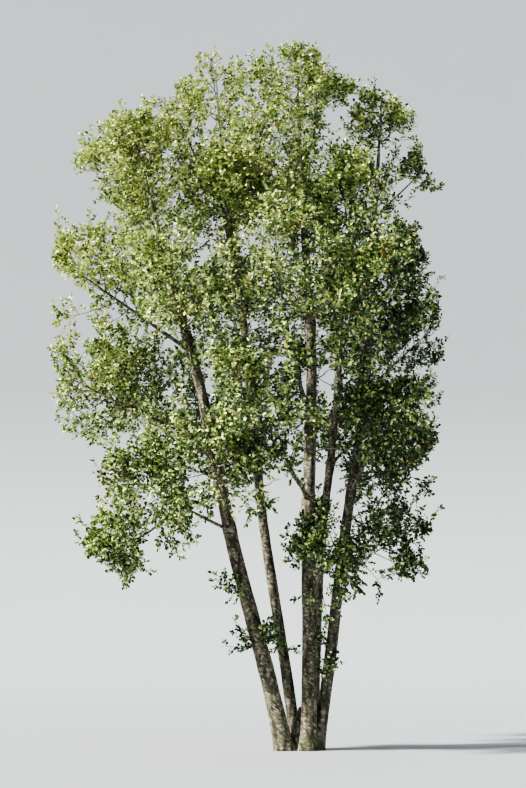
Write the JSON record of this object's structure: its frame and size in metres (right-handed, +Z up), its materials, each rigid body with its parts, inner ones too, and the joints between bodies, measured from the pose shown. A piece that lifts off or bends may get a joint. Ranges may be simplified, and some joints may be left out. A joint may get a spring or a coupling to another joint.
{
  "type": "white alder tree",
  "caption": "White alder tree with several stems from one root and an open, airy olive-green crown",
  "frame": {"origin": "on the level ground between the stems, in the flat cut under the root crown (the ground mount)", "axes": "+Z up the tree, +X to the viewer's right in the picture, +Y away from the viewer"},
  "size_m": [8.3218, 8.5341, 14.9366],
  "materials": {
    "bark": "matt",
    "foliage": "satin"
  },
  "bodies": {
    "root": {"bough_back_back_mid": "bark", "bough_back_back_top": "bark", "bough_centre_fork_top": "bark", "bough_centre_front_low": "bark", "bough_centre_front_mid": "bark", "bough_centre_front_top": "bark", "bough_left_back_high": "bark", "bough_left_back_low": "bark", "bough_left_front_high": "bark", "bough_left_outer_mid": "bark", "bough_left_skirt": "bark", "bough_left_tip_high": "bark", "bough_mid_left_back_mid": "bark", "bough_mid_left_back_top": "bark", "bough_mid_left_front": "bark", "bough_mid_left_top_left": "bark", "bough_right_front_mid": "bark", "bough_right_front_top": "bark", "leaves_back_back_low": "foliage", "leaves_back_back_mid": "foliage", "leaves_back_back_top": "foliage", "leaves_back_crown": "foliage", "leaves_centre_crown": "foliage", "leaves_centre_fork_top": "foliage", "leaves_centre_front_low": "foliage", "leaves_centre_front_mid": "foliage", "leaves_centre_front_top": "foliage", "leaves_centre_skirt": "foliage", "leaves_left_back_high": "foliage", "leaves_left_back_low": "foliage", "leaves_left_crown": "foliage", "leaves_left_front_high": "foliage", "leaves_left_front_low": "foliage", "leaves_left_outer_high": "foliage", "leaves_left_outer_low": "foliage", "leaves_left_outer_mid": "foliage", "leaves_left_skirt": "foliage", "leaves_left_tip_high": "foliage", "leaves_mid_left_back_low": "foliage", "leaves_mid_left_back_mid": "foliage", "leaves_mid_left_back_top": "foliage", "leaves_mid_left_crown": "foliage", "leaves_mid_left_front": "foliage", "leaves_mid_left_top_left": "foliage", "leaves_right_crown": "foliage", "leaves_right_front_low": "foliage", "leaves_right_front_mid": "foliage", "leaves_right_front_top": "foliage", "leaves_right_outer_high": "foliage", "leaves_right_outer_low": "foliage", "leaves_right_outer_mid": "foliage", "leaves_right_skirt": "foliage", "leaves_right_tip_high": "foliage", "root_crown": "bark", "stem_back": "bark", "stem_centre": "bark", "stem_left": "bark", "stem_mid_left": "bark", "stem_right": "bark"}
  },
  "joints": []
}
